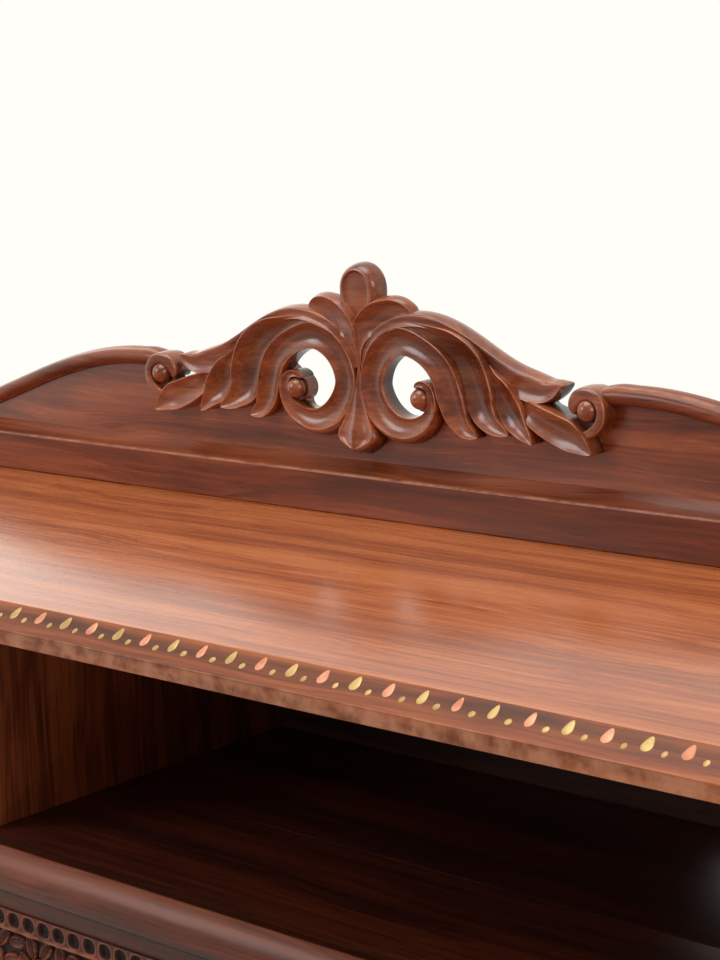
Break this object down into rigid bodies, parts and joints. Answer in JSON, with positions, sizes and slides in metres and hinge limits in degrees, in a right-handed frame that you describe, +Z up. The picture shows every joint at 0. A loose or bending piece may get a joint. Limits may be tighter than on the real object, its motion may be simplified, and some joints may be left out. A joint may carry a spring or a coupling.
{
  "type": "carved tv cabinet",
  "caption": "Low wooden television cabinet with a pierced carved gallery, metal-inlaid front edge, open shelf with a partition and a row of sliding carved drawers.",
  "frame": {"origin": "on the floor under the middle of the top", "axes": "+X to the right seen from the front, +Y to the back, +Z up"},
  "size_m": [1.5, 0.476, 0.854],
  "materials": {
    "top_wood": "satin lacquered hardwood, long straight grain",
    "gallery_wood": "satin polished carved hardwood, reddish brown",
    "edge_wood": "satin polished hardwood with dark figure",
    "carcass_wood": "satin polished hardwood",
    "carved_wood": "deep carved hardwood, dark stained ground",
    "inner_wood": "plain unpolished hardwood",
    "back_board": "dark stained board",
    "brass": "aged polished brass",
    "copper": "polished copper"
  },
  "bodies": {
    "cabinet": {"bottom_panel": "carcass_wood", "drawer_divider_left": "carcass_wood", "drawer_divider_right": "carcass_wood", "drawer_runners": "inner_wood", "drawer_stops": "inner_wood", "foot_front_left": "carcass_wood", "foot_front_right": "carcass_wood", "foot_rear_left": "carcass_wood", "foot_rear_right": "carcass_wood", "front_apron": "carcass_wood", "gallery_base_moulding": "gallery_wood", "gallery_plank": "gallery_wood", "inlay_brass": "brass", "inlay_copper": "copper", "lower_back_panel": "back_board", "pilasters": "carcass_wood", "post_front_left": "carcass_wood", "post_front_right": "carcass_wood", "post_rear_left": "carcass_wood", "post_rear_right": "carcass_wood", "rear_apron": "carcass_wood", "shelf_front_board": "carcass_wood", "shelf_front_rail": "carcass_wood", "shelf_nosing": "edge_wood", "shelf_partition": "carcass_wood", "shelf_rear_board": "carcass_wood", "shelf_rear_rail": "carcass_wood", "side_panel_left": "carcass_wood", "side_panel_right": "carcass_wood", "side_rails_left": "carcass_wood", "side_rails_right": "carcass_wood", "top_front_lipping": "edge_wood", "top_panel": "top_wood", "top_rear_strip": "top_wood", "upper_back_panel": "back_board"},
    "drawer_left": {"drawer_left_back": "inner_wood", "drawer_left_bottom": "inner_wood", "drawer_left_carved_panel": "carved_wood", "drawer_left_front": "carcass_wood", "drawer_left_knob": "brass", "drawer_left_sides": "inner_wood"},
    "drawer_centre": {"drawer_centre_back": "inner_wood", "drawer_centre_bottom": "inner_wood", "drawer_centre_carved_panel": "carved_wood", "drawer_centre_front": "carcass_wood", "drawer_centre_knob": "brass", "drawer_centre_sides": "inner_wood"},
    "drawer_right": {"drawer_right_back": "inner_wood", "drawer_right_bottom": "inner_wood", "drawer_right_carved_panel": "carved_wood", "drawer_right_front": "carcass_wood", "drawer_right_knob": "brass", "drawer_right_sides": "inner_wood"}
  },
  "joints": [
    {"name": "drawer_left_slide", "type": "slide", "parent": "cabinet", "child": "drawer_left", "axis": [0, -1, 0], "range_m": [0, 0.28]},
    {"name": "drawer_centre_slide", "type": "slide", "parent": "cabinet", "child": "drawer_centre", "axis": [0, -1, 0], "range_m": [0, 0.28]},
    {"name": "drawer_right_slide", "type": "slide", "parent": "cabinet", "child": "drawer_right", "axis": [0, -1, 0], "range_m": [0, 0.28]}
  ]
}
